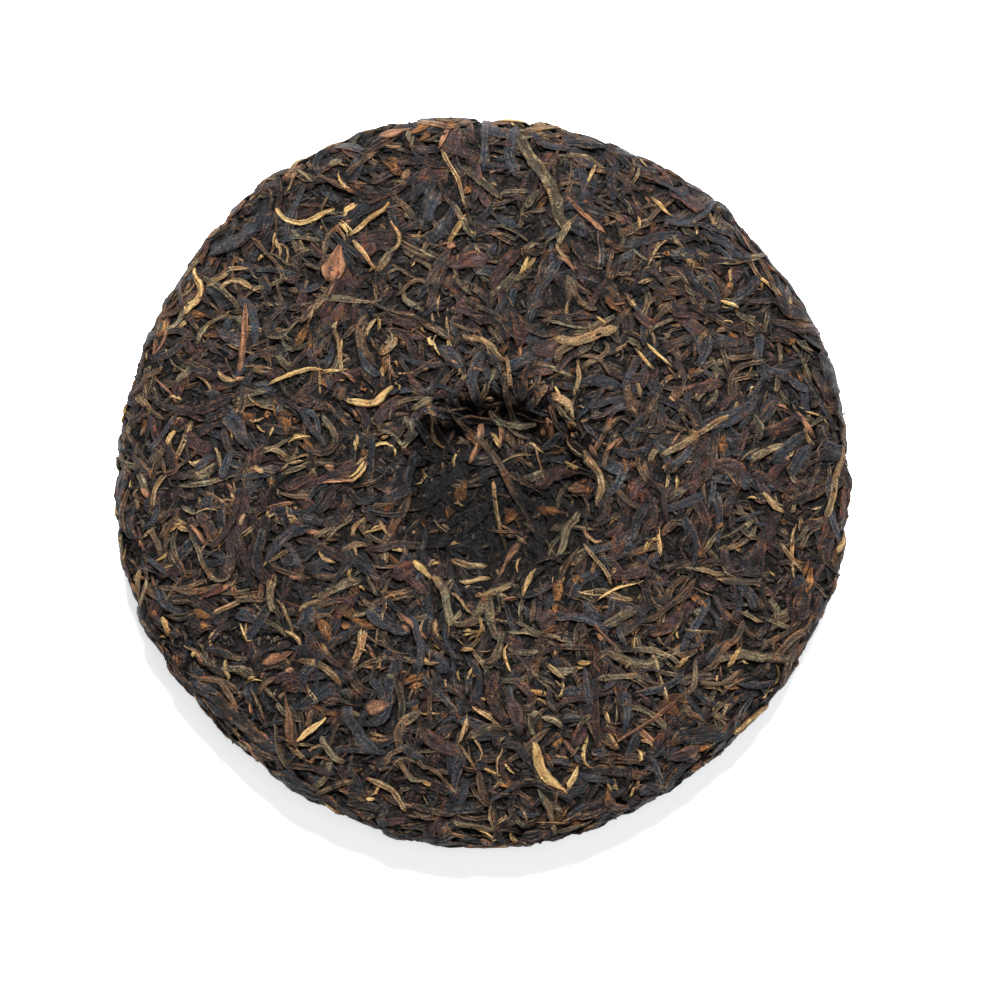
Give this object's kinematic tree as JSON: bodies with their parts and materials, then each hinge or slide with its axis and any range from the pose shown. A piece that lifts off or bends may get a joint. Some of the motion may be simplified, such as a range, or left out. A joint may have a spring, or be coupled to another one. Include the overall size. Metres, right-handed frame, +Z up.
{
  "type": "pu erh tea cake",
  "caption": "Round cake of long dark tea leaves pressed into one slightly domed disc with a rounded edge and a knot hollow in the middle.",
  "frame": {"origin": "on the surface that the cake lies on, under the middle of its outline", "axes": "+Z up out of the face with the knot hollow, through the thickness; +X to the right and +Y to the top of the picture; the outline is round, so X and Y are free"},
  "size_m": [0.2018, 0.1986, 0.0243],
  "materials": {
    "dark_leaf": "dry pressed tea leaf, satin, nearly black brown with a slate grey bloom",
    "brown_leaf": "dry pressed tea leaf, satin, red brown to purple brown",
    "olive_leaf": "dry pressed tea leaf, satin, tan to olive with fine wrinkles",
    "golden_bud": "downy dry tea bud, matte, pale gold",
    "red_stem": "dry stems and leaf flakes, satin, red brown"
  },
  "bodies": {
    "root": {"tea_cake": "dark_leaf"}
  },
  "joints": []
}
